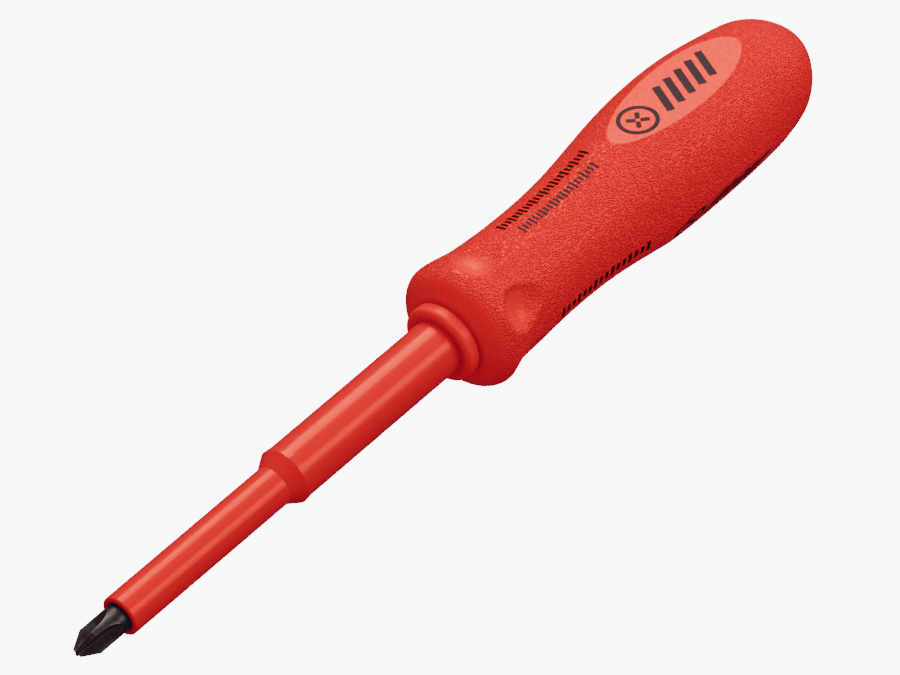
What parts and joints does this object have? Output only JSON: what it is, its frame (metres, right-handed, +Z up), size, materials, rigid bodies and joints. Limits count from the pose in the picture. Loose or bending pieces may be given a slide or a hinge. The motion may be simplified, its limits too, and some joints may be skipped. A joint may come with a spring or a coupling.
{
  "type": "insulated screwdriver",
  "caption": "Cross-head screwdriver whose bar is sheathed to near the tip, with a stepped insulating sleeve and a round handle with finger guard, thumb dimples and flats.",
  "frame": {"origin": "bottom centre of the bounding box: the tool rests on Z = 0 on one badge flat and the finger guard", "axes": "-X along the tool's axis from the tip to the handle, so the tip points to +X; +Z up, away from the flat it rests on"},
  "size_m": [0.2176, 0.0316, 0.0298],
  "materials": {
    "blackened_steel": "black oxide on chrome-vanadium steel, slight sheen, bright where the flute edges are worn",
    "sleeve_plastic": "smooth orange-red extruded plastic, soft gloss",
    "core_plastic": "orange-red moulded plastic, satin",
    "grip_plastic": "orange-red moulded plastic with a fine spark-eroded grain, smoother on the flats and in the dimples"
  },
  "bodies": {
    "root": {"blade": "blackened_steel", "inner_insulation": "sleeve_plastic", "outer_insulation": "sleeve_plastic", "handle_core": "core_plastic", "handle_grip": "grip_plastic"}
  },
  "joints": []
}
